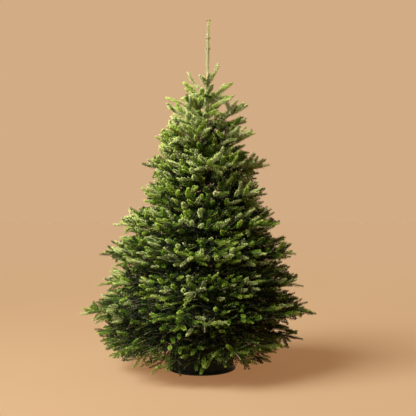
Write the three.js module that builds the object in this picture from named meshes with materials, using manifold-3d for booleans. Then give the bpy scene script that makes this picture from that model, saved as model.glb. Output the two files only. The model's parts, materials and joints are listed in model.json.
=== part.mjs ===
// A cut fir in its stand, undecorated. Millimetres, +Z up, origin at the centre of the stand's underside.
// The crown is rings of boughs, ring 0 the lowest. What grows is made upright, then leaned as one.
import * as THREE from 'three';
import { mergeVertices } from 'three/addons/utils/BufferGeometryUtils.js';
import Module from 'manifold-3d';

const wasm = await Module();
wasm.setup();

const GAP = 0.3;

// Trunk and leader
const TREE_HEIGHT = 2100;
const LEAN = 42;
const TRUNK_SIDES = 12;
const TRUNK_RADIUS = 43;
const FLARE = 6;
const FLARE_HEIGHT = 70;
const TRUNK_TOP = 1730;
const TRUNK_TOP_RADIUS = 7.5;
const LEADER_RADIUS = 5.5;
const LEADER_TIP_RADIUS = 3;
const BUD_RADIUS = 5;
const BUD_LENGTH = 16;
const SLEEVE_SIDES = 6;
const SLEEVE_WALL = 2.4;
const SLEEVE_ENDS = 18;
const LEADER_NEEDLES = 14;
const LEADER_NEEDLE_LENGTH = 26;
const LEADER_NEEDLE_WIDTH = 5;
const LEADER_NEEDLE_OPENING = 24;
const GOLDEN_ANGLE = 137.5;

// Stand: a round tank with panelled walls and a socket for the trunk, and the clamp on its collar
const STAND_TURNS = 40;
const FLANGE_RADIUS = 205;
const FLANGE_HEIGHT = 12;
const WALL_RADIUS = 195;
const SHOULDER_RADIUS = 182;
const SHOULDER_HEIGHT = 132;
const DECK_RADIUS = 166;
const DECK_HEIGHT = 145;
const COLLAR_RADIUS = 82;
const COLLAR_HEIGHT = 158;
const SOCKET_RADIUS = 64;
const SOCKET_FLOOR_RADIUS = 57;
const SOCKET_FLOOR = 14;
const TURNS_PER_PANEL = 4;
const PANEL_DEPTH = 4;
const PANEL_EDGE = 5;
const CLAMP_RADIUS = 79;
const CLAMP_BORE = 67;
const CLAMP_HEIGHT = 10;
const CLAWS = 4;
const CLAW_WIDTH = 24;
const CLAW_HEIGHT = 34;
const CLAW_TIP = 14;
const CLAW_SINK = 5;

// Crown: rings of boughs up the trunk, whose tips lie on one cone
const RING_BOUGHS = [6, 5, 5, 5, 5, 4, 4, 4, 3, 3];
const RINGS_WITH_LIMBS = 2;
const RING_TURN = -10;
const FOOT_FIRST = 245;
const FOOT_STEP = 133;
const FOOT_SPREAD = 1.8;
const RISE_LOW = -4.5;
const RISE_LINEAR = 10;
const RISE_SQUARE = 34;
const BOW = 0.035;
const CONE_HEIGHT = 1600;
const CONE_RADIUS = 252;
const CONE_SLOPE = 0.35;
const SKIRT_REACH = 635;
const TOP_REACH = 165;
const REACH_BIAS = 0.03;
const REACH_JITTER = 0.05;
const AZIMUTH_JITTER = 6;
const FOOT_JITTER = 10;
const TILT_JITTER = 0.02;
const LIMB_SHARE = 0.42;
const LIMB_RADIUS = 12;
const LIMB_TIP_RADIUS = 7;
const STEM_RADIUS_LOW = 9;
const STEM_RADIUS_HIGH = 5;
const STEM_TIP_RADIUS = 2.5;
const SKIRT_ROOM = 62;
const CROWN_ROOM = 60;
const CELL_MARGIN = 4;

// Beds: the dense middle of a mass
const DENSE_RINGS = 8;
const BED_LEVELS = [0.78, -0.7];
const BED_FROM = 0.16;
const BED_HUB = 0.46;
const BED_TEETH = 8;
const BED_FILL = 0.96;
const BED_JITTER = 0.18;
const BED_NOTCH = 0.68;
const BED_DEPTH = 0.62;
const BED_SPREAD = 0.4;
const BED_LEAST = 30;

// Sprays of needles
const SHOOT_LOW = 180;
const SHOOT_HIGH = 125;
const SPRAY_WIDTH = 0.38;
const SPRAY_THICKNESS = 28;
const SPRAY_MIDDLE = 0.34;
const TWIG_RADIUS = 3;
const TWIG_SINK = 0.3;
const REACH_STEP = 12;
const TIP_JITTER = 0.1;
const ROLL = 35;
const ANGLE_JITTER = 7;
const MOST_CROSSING = 0.08;
const LEAST_SHOWING = 0.4;
// Where a side twig leaves its stem, as a share of the bough, and how it turns aside and upwards.
const DENSE_TWIGS = [[0.6, 30, -4], [0.6, -30, 6], [0.6, 0, 26]];
const OPEN_TWIGS = [[0.62, 30, 8], [0.5, -34, 10], [0.4, 55, 6], [0.3, -55, 12], [0.45, 0, 30]];

const BARK = new THREE.MeshStandardMaterial({ color: 0x6b5138, roughness: 0.9, metalness: 0 });
const NEEDLES = new THREE.MeshStandardMaterial({ color: 0x3f5a1f, roughness: 0.6, metalness: 0 });
const YOUNG_NEEDLES = new THREE.MeshStandardMaterial({ color: 0x9a9a52, roughness: 0.6, metalness: 0 });
const TANK_PLASTIC = new THREE.MeshStandardMaterial({ color: 0x18201a, roughness: 0.45, metalness: 0 });
const CLAMP_METAL = new THREE.MeshStandardMaterial({ color: 0x2a2e2b, roughness: 0.5, metalness: 0.7 });

const UP = new THREE.Vector3(0, 0, 1);
const radians = THREE.MathUtils.degToRad;
const mix = THREE.MathUtils.lerp;

// The same numbers come back for the same seed.
function randomFrom(seed) {
  let state = Math.imul(seed + 1, 2654435761) >>> 0;
  return () => {
    state = (Math.imul(state, 1664525) + 1013904223) >>> 0;
    return state / 4294967296;
  };
}

const spread = (random, amount) => (2 * random() - 1) * amount;

// Solids

function solid(geometry) {
  geometry.deleteAttribute('normal');
  geometry.deleteAttribute('uv');
  const merged = mergeVertices(geometry, 1e-3);
  const vertProperties = new Float32Array(merged.attributes.position.array);
  const triVerts = new Uint32Array(merged.index.array);
  return new wasm.Manifold(new wasm.Mesh({ numProp: 3, vertProperties, triVerts }));
}

// Drops any loose scrap that a cut leaves.
const largest = (body) => body.decompose().sort((a, b) => b.volume() - a.volume())[0];

function move(geometry, place) {
  const positions = geometry.attributes.position;
  for (let i = 0; i < positions.count; i += 1) {
    const point = place(new THREE.Vector3().fromBufferAttribute(positions, i), i);
    positions.setXYZ(i, point.x, point.y, point.z);
  }
  return geometry;
}

// A tapering limb along a curve, from one share of it to another.
function limb(curve, from, to, rootRadius, tipRadius, sides, steps) {
  const straight = new THREE.CylinderGeometry(tipRadius, rootRadius, 1, sides, steps);
  return move(straight, (point) => {
    const share = mix(from, to, point.y + 0.5);
    const along = curve.getTangent(share);
    const across = new THREE.Vector3().crossVectors(along, UP).normalize();
    const over = new THREE.Vector3().crossVectors(across, along);
    return curve.getPoint(share).addScaledVector(across, point.x).addScaledVector(over, point.z);
  });
}

function latheAboutZ(profile, turns) {
  const points = profile.map(([radius, height]) => new THREE.Vector2(radius, height));
  return new THREE.LatheGeometry(points, turns).rotateX(Math.PI / 2);
}

// A flat body round a toothed outline, thickest over its middle. Both are shares of its length and width.
function blade(outline, middle, root, along, over, length, width, thickness) {
  const rim = outline.length;
  const across = new THREE.Vector3().crossVectors(over, along).normalize();
  const normal = new THREE.Vector3().crossVectors(along, across);
  return move(new THREE.SphereGeometry(1, rim, 2), (point, index) => {
    const onRim = Math.abs(point.y) < 0.5;
    const [forward, sideways] = onRim ? outline[(index % (rim + 1)) % rim] : [middle, 0];
    const out = onRim ? 0 : (Math.sign(point.y) * thickness) / 2;
    return root
      .clone()
      .addScaledVector(along, forward * length)
      .addScaledVector(across, sideways * width)
      .addScaledVector(normal, out);
  });
}

// Trunk

function trunkRadius(height) {
  if (height > TRUNK_TOP) {
    return mix(LEADER_RADIUS, LEADER_TIP_RADIUS, (height - TRUNK_TOP) / (TREE_HEIGHT - TRUNK_TOP));
  }
  const flare = FLARE * Math.exp(-height / FLARE_HEIGHT);
  return mix(TRUNK_RADIUS, TRUNK_TOP_RADIUS, height / TRUNK_TOP) + flare;
}

function trunkGeometry(clear, foot) {
  const heights = [foot, 45, 90, 150, 240];
  for (let height = 400; height < TRUNK_TOP; height += 190) heights.push(height);
  heights.push(TRUNK_TOP, TRUNK_TOP + 25, (TRUNK_TOP + TREE_HEIGHT) / 2, TREE_HEIGHT - BUD_LENGTH);
  const profile = heights.map((height) => [trunkRadius(height) + clear, height]);
  profile.unshift([0, foot]);
  profile.push([BUD_RADIUS + clear, TREE_HEIGHT - BUD_LENGTH * 0.6], [0, TREE_HEIGHT + clear]);
  return latheAboutZ(profile, TRUNK_SIDES);
}

const trunkClear = solid(trunkGeometry(GAP, 0));

const NEEDLE_OUTLINE = [[1, 0], [0.4, 0.5], [0, 0], [0.4, -0.5]];

// A thin sleeve round the leader, with single needles standing out of it.
function leaderNeedles() {
  const foot = TRUNK_TOP + SLEEVE_ENDS;
  const top = TREE_HEIGHT - BUD_LENGTH - SLEEVE_ENDS;
  const outer = (height) => trunkRadius(height) + GAP + SLEEVE_WALL;
  const sleeve = latheAboutZ([[0, foot], [outer(foot), foot], [outer(top), top], [0, top]], SLEEVE_SIDES);
  let body = solid(sleeve);
  for (let needle = 0; needle < LEADER_NEEDLES; needle += 1) {
    const height = mix(foot + 10, top - 12, needle / (LEADER_NEEDLES - 1));
    const turn = radians(GOLDEN_ANGLE * needle);
    const out = new THREE.Vector3(Math.cos(turn), Math.sin(turn), 0);
    const root = out.clone().multiplyScalar(outer(height) - SLEEVE_WALL / 2).setZ(height);
    const opening = radians(LEADER_NEEDLE_OPENING);
    const along = UP.clone().multiplyScalar(Math.cos(opening)).addScaledVector(out, Math.sin(opening));
    const size = [LEADER_NEEDLE_LENGTH, LEADER_NEEDLE_WIDTH, LEADER_NEEDLE_WIDTH / 2];
    body = body.add(solid(blade(NEEDLE_OUTLINE, 0.4, root, along, out, ...size)));
  }
  return largest(body.subtract(trunkClear));
}

// Rings of boughs

const lastRing = RING_BOUGHS.length - 1;

const footHeight = (ring) => FOOT_FIRST + FOOT_STEP * ring + FOOT_SPREAD * ring * ring;

function ringRise(ring) {
  const share = ring / lastRing;
  return Math.tan(radians(RISE_LOW + RISE_LINEAR * share + RISE_SQUARE * share * share));
}

function ringReach(ring) {
  if (ring === 0) return SKIRT_REACH;
  if (ring === lastRing) return TOP_REACH;
  return (CONE_RADIUS + CONE_SLOPE * (CONE_HEIGHT - footHeight(ring))) / (1 + CONE_SLOPE * ringRise(ring));
}

// How high the middle of a ring lies, this far out from the trunk's axis.
function ringHeight(ring, radius) {
  const reach = ringReach(ring);
  const bow = BOW * reach * Math.sin((Math.PI * Math.min(radius, reach)) / reach);
  return footHeight(ring) + radius * ringRise(ring) + bow;
}

class BoughCurve extends THREE.Curve {
  constructor(bough) {
    super();
    this.bough = bough;
  }

  getPoint(share) {
    const { ring, azimuth, reach, lift, tilt } = this.bough;
    const radius = share * reach;
    const height = ringHeight(ring, radius) + lift + tilt * radius;
    return new THREE.Vector3(radius * Math.cos(azimuth), radius * Math.sin(azimuth), height);
  }
}

function ringOfBoughs(ring) {
  const count = RING_BOUGHS[ring];
  const boughs = [];
  for (let place = 0; place < count; place += 1) {
    const random = randomFrom(100 * ring + place);
    const turn = RING_TURN + GOLDEN_ANGLE * ring + (360 * place) / count;
    const azimuth = radians(turn + spread(random, AZIMUTH_JITTER));
    const bias = 1 - REACH_BIAS * Math.cos(azimuth);
    const reach = ringReach(ring) * bias * (1 + spread(random, REACH_JITTER));
    const lift = spread(random, FOOT_JITTER);
    const tilt = spread(random, TILT_JITTER);
    boughs.push({ ring, place, azimuth, reach, lift, tilt, random });
  }
  for (let place = 0; place < count; place += 1) {
    const next = boughs[(place + 1) % count];
    const turn = place + 1 === count ? 2 * Math.PI : 0;
    const edge = (boughs[place].azimuth + next.azimuth + turn) / 2;
    boughs[place].leftEdge = edge;
    next.rightEdge = edge - turn;
  }
  return boughs;
}

// Each bough's foliage keeps to a wedge of its ring, halfway to the boughs beside, above and below it.
function cellHeights(bough, radius) {
  const { ring } = bough;
  const middle = ringHeight(ring, radius);
  const above = ring === lastRing ? middle + CROWN_ROOM : (ringHeight(ring + 1, radius) + middle) / 2;
  const below = ring === 0 ? middle - SKIRT_ROOM : (ringHeight(ring - 1, radius) + middle) / 2;
  return [below, middle, above];
}

function inCell(bough, point) {
  const { azimuth, leftEdge, rightEdge, reach } = bough;
  const radius = Math.hypot(point.x, point.y);
  const turn = Math.atan2(point.y, point.x) - azimuth;
  const off = Math.atan2(Math.sin(turn), Math.cos(turn));
  const [below, , above] = cellHeights(bough, radius);
  const leftRoom = radius * Math.sin(leftEdge - azimuth - off);
  const rightRoom = radius * Math.sin(azimuth + off - rightEdge);
  const room = Math.min(above - point.z, point.z - below, leftRoom, rightRoom);
  return room > CELL_MARGIN && radius <= reach + 1;
}

function keeps(bough, geometry) {
  const positions = geometry.attributes.position;
  for (let i = 0; i < positions.count; i += 1) {
    if (!inCell(bough, new THREE.Vector3().fromBufferAttribute(positions, i))) return false;
  }
  return true;
}

// Masses of foliage

// A toothed spread of twigs round one point of the stem, whose rim rises or falls to one level of the
// space. Two of these are the dense middle that the sprays stand out of.
function bed(bough, startShare, level) {
  const from = Math.max(startShare, BED_FROM);
  const hub = new BoughCurve(bough).getPoint(mix(from, 1, BED_HUB));
  const heading = Math.atan2(hub.y, hub.x);
  const atLevel = (distance, angle) => {
    const x = hub.x + distance * Math.cos(heading + angle);
    const y = hub.y + distance * Math.sin(heading + angle);
    const [below, middle, above] = cellHeights(bough, Math.hypot(x, y));
    const room = level > 0 ? above - middle : middle - below;
    const rise = level * room * Math.min(1, distance / (BED_SPREAD * bough.reach));
    return new THREE.Vector3(x, y, middle + rise);
  };
  const toothReach = [];
  for (let tooth = 0; tooth < BED_TEETH; tooth += 1) {
    const angle = (2 * Math.PI * (tooth + 0.5)) / BED_TEETH;
    let far = bough.reach * (1 - from);
    const leaves = () => {
      const point = atLevel(far, angle);
      return !inCell(bough, point) || Math.hypot(point.x, point.y) < from * bough.reach;
    };
    while (leaves() && far > BED_LEAST) far -= REACH_STEP;
    toothReach.push(far * (BED_FILL - BED_JITTER * bough.random()));
  }
  const rim = 2 * BED_TEETH;
  return move(new THREE.SphereGeometry(1, rim, 2), (point, index) => {
    if (Math.abs(point.y) > 0.5) {
      const [below, middle, above] = cellHeights(bough, Math.hypot(hub.x, hub.y));
      const half = (BED_DEPTH * (above - below)) / 2;
      return new THREE.Vector3(hub.x, hub.y, middle + (0.3 * level + Math.sign(point.y)) * half);
    }
    const place = index % (rim + 1) % rim;
    const tooth = Math.floor(place / 2);
    const angle = (2 * Math.PI * (place + 1)) / rim;
    if (place % 2 === 0) return atLevel(toothReach[tooth], angle);
    const next = toothReach[(tooth + 1) % BED_TEETH];
    return atLevel(BED_NOTCH * Math.min(toothReach[tooth], next), angle);
  });
}

const SPRAY_SIDE = [[0.72, 0.42], [0.54, 0.26], [0.34, 0.5]];
const SPRAY_OTHER_SIDE = SPRAY_SIDE.map(([forward, out]) => [forward, -out]).reverse();
const SPRAY_OUTLINE = [[1, 0], ...SPRAY_SIDE, [0, 0], ...SPRAY_OTHER_SIDE];

function spray(root, along, over, length) {
  return blade(SPRAY_OUTLINE, SPRAY_MIDDLE, root, along, over, length, SPRAY_WIDTH * length, SPRAY_THICKNESS);
}

// The direction that lies flat over the curve here.
function overAt(curve, share) {
  const along = curve.getTangent(share);
  const across = new THREE.Vector3().crossVectors(UP, along).normalize();
  return new THREE.Vector3().crossVectors(along, across).normalize();
}

function turned(along, over, angle, pitch) {
  const across = new THREE.Vector3().crossVectors(over, along).normalize();
  return along.clone().applyAxisAngle(across, -pitch).applyAxisAngle(over, angle).normalize();
}

// The whole of a bough's foliage: its stem, its beds where it is dense, and a spray on each twig.
function foliage(bough, startShare) {
  const { ring, reach, random } = bough;
  const curve = new BoughCurve(bough);
  const size = mix(SHOOT_LOW, SHOOT_HIGH, ring / lastRing);
  const endShare = (reach - size) / reach;
  const stemEnd = endShare + (TWIG_SINK * size) / reach;
  const ownRadius = mix(STEM_RADIUS_LOW, STEM_RADIUS_HIGH, ring / lastRing);
  const stemRadius = startShare > 0 ? LIMB_TIP_RADIUS : ownRadius;
  let middle = solid(limb(curve, startShare, stemEnd, stemRadius, STEM_TIP_RADIUS, 4, 3));
  const dense = ring < DENSE_RINGS;
  if (dense) {
    for (const level of BED_LEVELS) middle = middle.add(solid(bed(bough, startShare, level)));
  }
  const tip = spray(curve.getPoint(endShare), curve.getTangent(endShare), overAt(curve, endShare), size);
  let sprays = solid(tip);

  // A side twig carries its spray out as far as the space, and the sprays already there, allow.
  const addTwig = (root, along, over, farthest) => {
    for (let far = farthest; far > 0.6 * size; far -= REACH_STEP) {
      const length = Math.min(size, far);
      const foot = root.clone().addScaledVector(along, far - length);
      const shape = spray(foot, along, over, length);
      if (!keeps(bough, shape)) continue;
      const leaf = solid(shape);
      const whole = leaf.volume();
      if (leaf.subtract(middle).volume() < LEAST_SHOWING * whole) return;
      if (sprays.intersect(leaf).volume() > MOST_CROSSING * whole) continue;
      sprays = sprays.add(leaf);
      if (far > length) {
        const end = foot.clone().addScaledVector(along, TWIG_SINK * length);
        const twig = limb(new THREE.LineCurve3(root, end), 0, 1, TWIG_RADIUS, TWIG_RADIUS, 3, 1);
        sprays = sprays.add(solid(twig));
      }
      return;
    }
  };

  for (const [share, side, pitch] of dense ? DENSE_TWIGS : OPEN_TWIGS) {
    const foot = Math.max(share, startShare + 0.04);
    const along = curve.getTangent(foot);
    const over = overAt(curve, foot).applyAxisAngle(along, spread(random, radians(ROLL)));
    const angle = radians(side) + spread(random, radians(ANGLE_JITTER));
    const way = turned(along, over, angle, radians(pitch) + spread(random, radians(ANGLE_JITTER)));
    const farthest = (reach * (1 - foot) * (1 - random() * TIP_JITTER)) / Math.cos(angle);
    addTwig(curve.getPoint(foot), way, over, farthest);
  }
  return middle.add(sprays);
}

// Stand

// The wall of the tank is pulled in between its ribs.
function tank() {
  const wallFoot = FLANGE_HEIGHT + PANEL_EDGE;
  const wallTop = SHOULDER_HEIGHT - PANEL_EDGE;
  const profile = [
    [0, 0],
    [FLANGE_RADIUS - 2, 0],
    [FLANGE_RADIUS, 3],
    [FLANGE_RADIUS, FLANGE_HEIGHT - 3],
    [WALL_RADIUS, FLANGE_HEIGHT],
    [WALL_RADIUS, wallFoot],
    [SHOULDER_RADIUS, wallTop],
    [SHOULDER_RADIUS, SHOULDER_HEIGHT],
    [DECK_RADIUS, DECK_HEIGHT],
    [COLLAR_RADIUS, DECK_HEIGHT],
    [COLLAR_RADIUS, COLLAR_HEIGHT],
    [SOCKET_RADIUS, COLLAR_HEIGHT],
    [SOCKET_FLOOR_RADIUS, SOCKET_FLOOR],
    [0, SOCKET_FLOOR],
  ];
  const step = (2 * Math.PI) / STAND_TURNS;
  return move(latheAboutZ(profile, STAND_TURNS), (point) => {
    const radius = Math.hypot(point.x, point.y);
    const onWall = radius > DECK_RADIUS && point.z > wallFoot - 1 && point.z < wallTop + 1;
    const onRib = Math.round(Math.atan2(point.y, point.x) / step) % TURNS_PER_PANEL === 0;
    const scale = onWall && !onRib ? (radius - PANEL_DEPTH) / radius : 1;
    return point.set(point.x * scale, point.y * scale, point.z);
  });
}

// A ring on the collar, with claws that lean in to the trunk.
function clamp(leanedTrunk) {
  const foot = COLLAR_HEIGHT + GAP;
  const top = foot + CLAMP_HEIGHT;
  const corners = [[CLAMP_BORE, foot], [CLAMP_RADIUS, foot], [CLAMP_RADIUS, top], [CLAMP_BORE, top]];
  let body = solid(latheAboutZ([...corners, corners[0]], STAND_TURNS));
  const tipRadius = trunkRadius(top + CLAW_HEIGHT) - CLAW_SINK;
  const side = new THREE.Shape();
  side.moveTo(CLAMP_RADIUS - 3, foot + 2);
  side.lineTo(CLAMP_RADIUS - 3, top + 3);
  side.lineTo(tipRadius, top + CLAW_HEIGHT);
  side.lineTo(tipRadius, top + CLAW_HEIGHT - CLAW_TIP);
  side.lineTo(CLAMP_BORE - 3, foot + 2);
  side.closePath();
  for (let claw = 0; claw < CLAWS; claw += 1) {
    const plate = new THREE.ExtrudeGeometry(side, { depth: CLAW_WIDTH, bevelEnabled: false, steps: 1 });
    plate.translate(0, 0, -CLAW_WIDTH / 2).rotateX(Math.PI / 2).rotateZ((2 * Math.PI * (claw + 0.5)) / CLAWS);
    body = body.add(solid(plate));
  }
  return body.subtract(leanedTrunk);
}

// Scene graph

const tree = new THREE.Group();
tree.name = 'christmas_tree';
const lean = new THREE.Matrix4().makeShear(0, 0, 0, 0, LEAN / TREE_HEIGHT, 0);

function add(name, body, material) {
  const mesh = body.getMesh();
  const geometry = new THREE.BufferGeometry();
  geometry.setAttribute('position', new THREE.BufferAttribute(mesh.vertProperties, mesh.numProp));
  geometry.setIndex(new THREE.BufferAttribute(mesh.triVerts, 1));
  const part = new THREE.Mesh(geometry, material);
  part.name = name;
  tree.add(part);
  return part;
}

const addGrown = (...part) => add(...part).geometry.applyMatrix4(lean);

addGrown('trunk', solid(trunkGeometry(0, SOCKET_FLOOR + GAP)), BARK);
addGrown('leader_needles', leaderNeedles(), YOUNG_NEEDLES);
add('stand_tank', solid(tank()), TANK_PLASTIC);
add('stand_clamp', clamp(solid(trunkGeometry(GAP, 0).applyMatrix4(lean))), CLAMP_METAL);

RING_BOUGHS.forEach((count, ring) => {
  for (const bough of ringOfBoughs(ring)) {
    const name = `${ring + 1}_${bough.place + 1}`;
    const limbed = ring < RINGS_WITH_LIMBS;
    let mass = foliage(bough, limbed ? LIMB_SHARE + GAP / bough.reach : 0).subtract(trunkClear);
    if (limbed) {
      const curve = new BoughCurve(bough);
      const shape = (clear) =>
        solid(limb(curve, 0, LIMB_SHARE, LIMB_RADIUS + clear, LIMB_TIP_RADIUS + clear, 6, 4));
      addGrown(`bough_${name}`, largest(shape(0).subtract(trunkClear)), BARK);
      mass = mass.subtract(shape(GAP));
    }
    addGrown(`foliage_${name}`, largest(mass), NEEDLES);
  }
});

export default tree;
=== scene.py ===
"""A cut fir in its stand: bark, boughs, twigs, needles and buds, grown by the part's own rule."""
import json
from functools import lru_cache
from math import atan2, cos, exp, floor, hypot, pi, radians, sin, tan

import bmesh
import bpy
import numpy as np
from bpy.props import FloatProperty, FloatVectorProperty, PointerProperty
from mathutils import Matrix, Vector, noise

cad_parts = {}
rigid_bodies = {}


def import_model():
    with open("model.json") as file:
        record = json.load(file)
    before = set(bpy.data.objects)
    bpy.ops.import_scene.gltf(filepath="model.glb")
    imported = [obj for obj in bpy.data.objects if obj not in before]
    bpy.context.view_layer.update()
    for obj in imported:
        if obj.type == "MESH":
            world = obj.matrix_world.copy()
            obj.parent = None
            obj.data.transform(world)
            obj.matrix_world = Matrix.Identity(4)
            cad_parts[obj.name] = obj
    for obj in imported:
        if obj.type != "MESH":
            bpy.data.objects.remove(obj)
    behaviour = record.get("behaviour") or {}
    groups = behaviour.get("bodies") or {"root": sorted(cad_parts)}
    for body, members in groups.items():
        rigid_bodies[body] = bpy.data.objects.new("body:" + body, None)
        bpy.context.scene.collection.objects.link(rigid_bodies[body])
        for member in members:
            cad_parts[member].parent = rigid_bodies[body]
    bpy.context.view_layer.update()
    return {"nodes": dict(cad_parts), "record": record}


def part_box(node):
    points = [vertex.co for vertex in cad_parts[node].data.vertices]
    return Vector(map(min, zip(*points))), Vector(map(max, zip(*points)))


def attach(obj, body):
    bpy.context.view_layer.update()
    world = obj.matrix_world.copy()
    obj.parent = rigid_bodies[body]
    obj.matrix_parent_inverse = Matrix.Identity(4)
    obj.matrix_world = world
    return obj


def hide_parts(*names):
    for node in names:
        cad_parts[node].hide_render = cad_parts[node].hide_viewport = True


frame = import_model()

bl_info = {
    "name": "Cut fir in a stand",
    "version": (1, 0, 0),
    "blender": (4, 5, 0),
    "location": "3D View > Sidebar > Fir",
    "description": "Dresses a cut fir and its stand, a piece at a time",
    "category": "Add Mesh",
}

SLOT_COLOURS = {m["slot"]: m["base_color"][:3] for m in frame["record"]["materials"]}

# The tree as the part has it, in metres and degrees. Ring 0 is the lowest ring of boughs.
TREE_HEIGHT = 2.100
LEAN = 0.042
TRUNK_RADIUS = 0.043
FLARE = 0.006
FLARE_HEIGHT = 0.070
TRUNK_TOP = 1.730
TRUNK_TOP_RADIUS = 0.0075
LEADER_RADIUS = 0.0055
LEADER_TIP_RADIUS = 0.003
BUD_LENGTH = 0.016
SOCKET_FLOOR = 0.0143
GOLDEN_ANGLE = 137.5

RING_BOUGHS = [6, 5, 5, 5, 5, 4, 4, 4, 3, 3]
LAST_RING = len(RING_BOUGHS) - 1
RINGS_WITH_LIMBS = 2
RING_TURN = -10
FOOT_FIRST = 0.245
FOOT_STEP = 0.133
FOOT_SPREAD = 0.0018
RISE_LOW = -4.5
RISE_LINEAR = 10
RISE_SQUARE = 34
BOW = 0.035
CONE_HEIGHT = 1.600
CONE_RADIUS = 0.252
CONE_SLOPE = 0.35
SKIRT_REACH = 0.635
TOP_REACH = 0.165
REACH_BIAS = 0.03
REACH_JITTER = 0.05
AZIMUTH_JITTER = 6
FOOT_JITTER = 0.010
TILT_JITTER = 0.02
LIMB_SHARE = 0.42
LIMB_RADIUS = 0.012
LIMB_TIP_RADIUS = 0.007
STEM_RADIUS_LOW = 0.009
STEM_RADIUS_HIGH = 0.005
STEM_TIP_RADIUS = 0.0025
SKIRT_ROOM = 0.062
CROWN_ROOM = 0.060
DENSE_RINGS = 8

# Seeds of the draws: one for each bough, and one for which shoots get needles
SEEDS_PER_RING = 100
CROWN_SEED = 17

# A year's growth: its length in the lowest ring and in the highest, and how it wanders
YEAR_LOW = 0.094
YEAR_HIGH = 0.105
YEAR_JITTER = 0.16
HEADING_JITTER = 7
SLOPE_JITTER = 0.08
STEEPEST = 0.85
LEAST_SHOOT = 0.045
# How far a shoot may cross into the next bough's space and past its own bough's reach, and what share is
# kept of one that goes further
CELL_OVERLAP = 0.018
REACH_SLACK = 0.001
KEPT_SHARE = 0.62

# Side twigs. A level is a height in the bough's space: 1 at its top, 0 at the stem and -1 at the bottom.
SIDE_ORDERS = 3
SIDE_ANGLE = 46
SIDE_ANGLE_JITTER = 10
SIDE_GROWTH = 0.93
LEVEL_RUN = 0.11
LEVEL_JITTER = 0.2
# Short side twigs, which leave part of the way along a year
SHORT_CHANCE = 0.6
SHORT_PLACE = 0.5
SHORT_PLACE_JITTER = 0.15
SHORT_OPENING = 12
SHORT_LEVEL_JITTER = 0.4
SHORT_YEARS = 2
SHORT_GROWTH = 0.9
# How much more steeply the last year of a side twig rises, ring by ring, and what share of that at level 0
TIP_RISES = [0.14, 0.34, 0.48, 0.56, 0.58, 0.56, 0.48, 0.34, 0.10, 0.0]
TIP_RISE_JITTER = 0.20
LEVEL_TIP_RISE = 0.6

# The levels of side twigs in the dense rings, and how they leave the stem
FAN_LEVELS = [0.0, 0.5, -0.45, 0.95, -0.9, -0.7]
FAN_OPENING = 5
FAN_PLACE = 0.4
FAN_PLACE_JITTER = 0.35
# How much further down the skirt's own space goes at its tips
SKIRT_DROOP = 0.095

# In the open rings: where a side twig leaves its stem, as a share of the bough, and how far it turns to a
# side and then up, in degrees
OPEN_TWIGS = [[0.62, 30, 4], [0.5, -34, 6], [0.4, 55, 0], [0.3, -55, 6], [0.45, 0, 22],
              [0.3, 24, -22], [0.25, -30, -26], [0.7, -42, -8], [0.15, 8, -34]]
# The pitch that takes such a twig to the edge of the bough's space, and the length that takes two years
FULL_PITCH = 30
LONGEST_YEAR = 0.14
# The top ring has only those far out or beneath, so that the trunk shows under the leader.
FAR_OUT = 0.5
TOP_TWIGS = [twig for twig in OPEN_TWIGS if twig[0] >= FAR_OUT or twig[2] < 0]

# Sprigs on the trunk: how far up to the next ring, and how far round, with 1 halfway to the next bough
SPRIG_PLACES = [(0.3, 1.0), (0.7, 0.2), (0.1, 0.5), (0.85, 1.4)]
SPRIG_HEIGHT_JITTER = 0.15
SPRIG_TURN_JITTER = 0.3
SPRIG_REACH = 0.5
SPRIG_YEAR = 0.10
SPRIG_RISE = 0.35
# The single shoots under the leader: height, heading, length and slope, gentler low down than at the tip
TOP_SPRIGS = [(1.735, 12, 0.115, 1.9), (1.66, 172, 0.165, 1.25)]
LOW_BEND = 0.55
HIGH_BEND = 1.5

# Which shoots have needles: those of the stems' last years first, and then from the outside in
NEEDLE_YEARS = 7
STEM_YEARS = 2
PICK_JITTER = 0.05
# How deep a shoot counts as being, against its depth, in the open rings and on the skirt's underside
OPEN_DEPTH = 0.4
UNDER_DEPTH = 0.5
UNDERSIDE = 0.03
# How near shoots may stand in the highest ring, against the lowest
HIGH_ROOM = 0.85

# Needles along and round a shoot
FIRST_STEP = 0.6
STEP_JITTER = 0.4
TURN_JITTER = 0.25
NEEDLE_OPENING = (50, 30)
OPENING_POWER = 2.2
OPENING_JITTER = 8
NEEDLE_FULLNESS = (1.1, 0.8, 0.5)
NEEDLE_STALK = 0.0008
NEEDLE_ROLL = 0.3
BARE_FOOT = 0.03
# A blade's length at the ends of a shoot and what its middle adds, and a blade's widest place and keel
END_LENGTH = 0.66
MIDDLE_LENGTH = 0.38
MIDDLE_POWER = 0.8
LENGTH_JITTER = 0.12
SHOULDER = 0.62
KEEL = 0.2
BLADE_CORNERS = 4
BLADE_FACES = [[0, 2, 1], [3, 1, 2], [0, 1, 3], [0, 3, 2]]
MOST_TRIANGLES = 190000

# Needle tints, from the shaded inside to the pale shoots outside: deep and shade are painted shade
TINTS = ["deep", "shade", "green", "fresh", "lime", "frost"]
GREEN = TINTS.index("green")
LIME = TINTS.index("lime")
FROST = TINTS.index("frost")

# Corners nearer than this are one, on turned shapes and on tubes
TURNED_WELD = 1e-5
TUBE_WELD = 1e-6


def mix(low, high, share):
    return low + (high - low) * share


# The part's rule for where boughs grow


class Draws:
    """Seeded draws, as in the part's source: the same numbers come back for the same seed."""

    first_factor = 2654435761
    factor = 1664525
    added = 1013904223
    span = 1 << 32

    def __init__(self, seed):
        self.state = (seed + 1) * self.first_factor % self.span

    def share(self):
        self.state = (self.state * self.factor + self.added) % self.span
        return self.state / self.span

    def spread(self, amount):
        return (2 * self.share() - 1) * amount


def foot_height(ring):
    return FOOT_FIRST + FOOT_STEP * ring + FOOT_SPREAD * ring * ring


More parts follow.
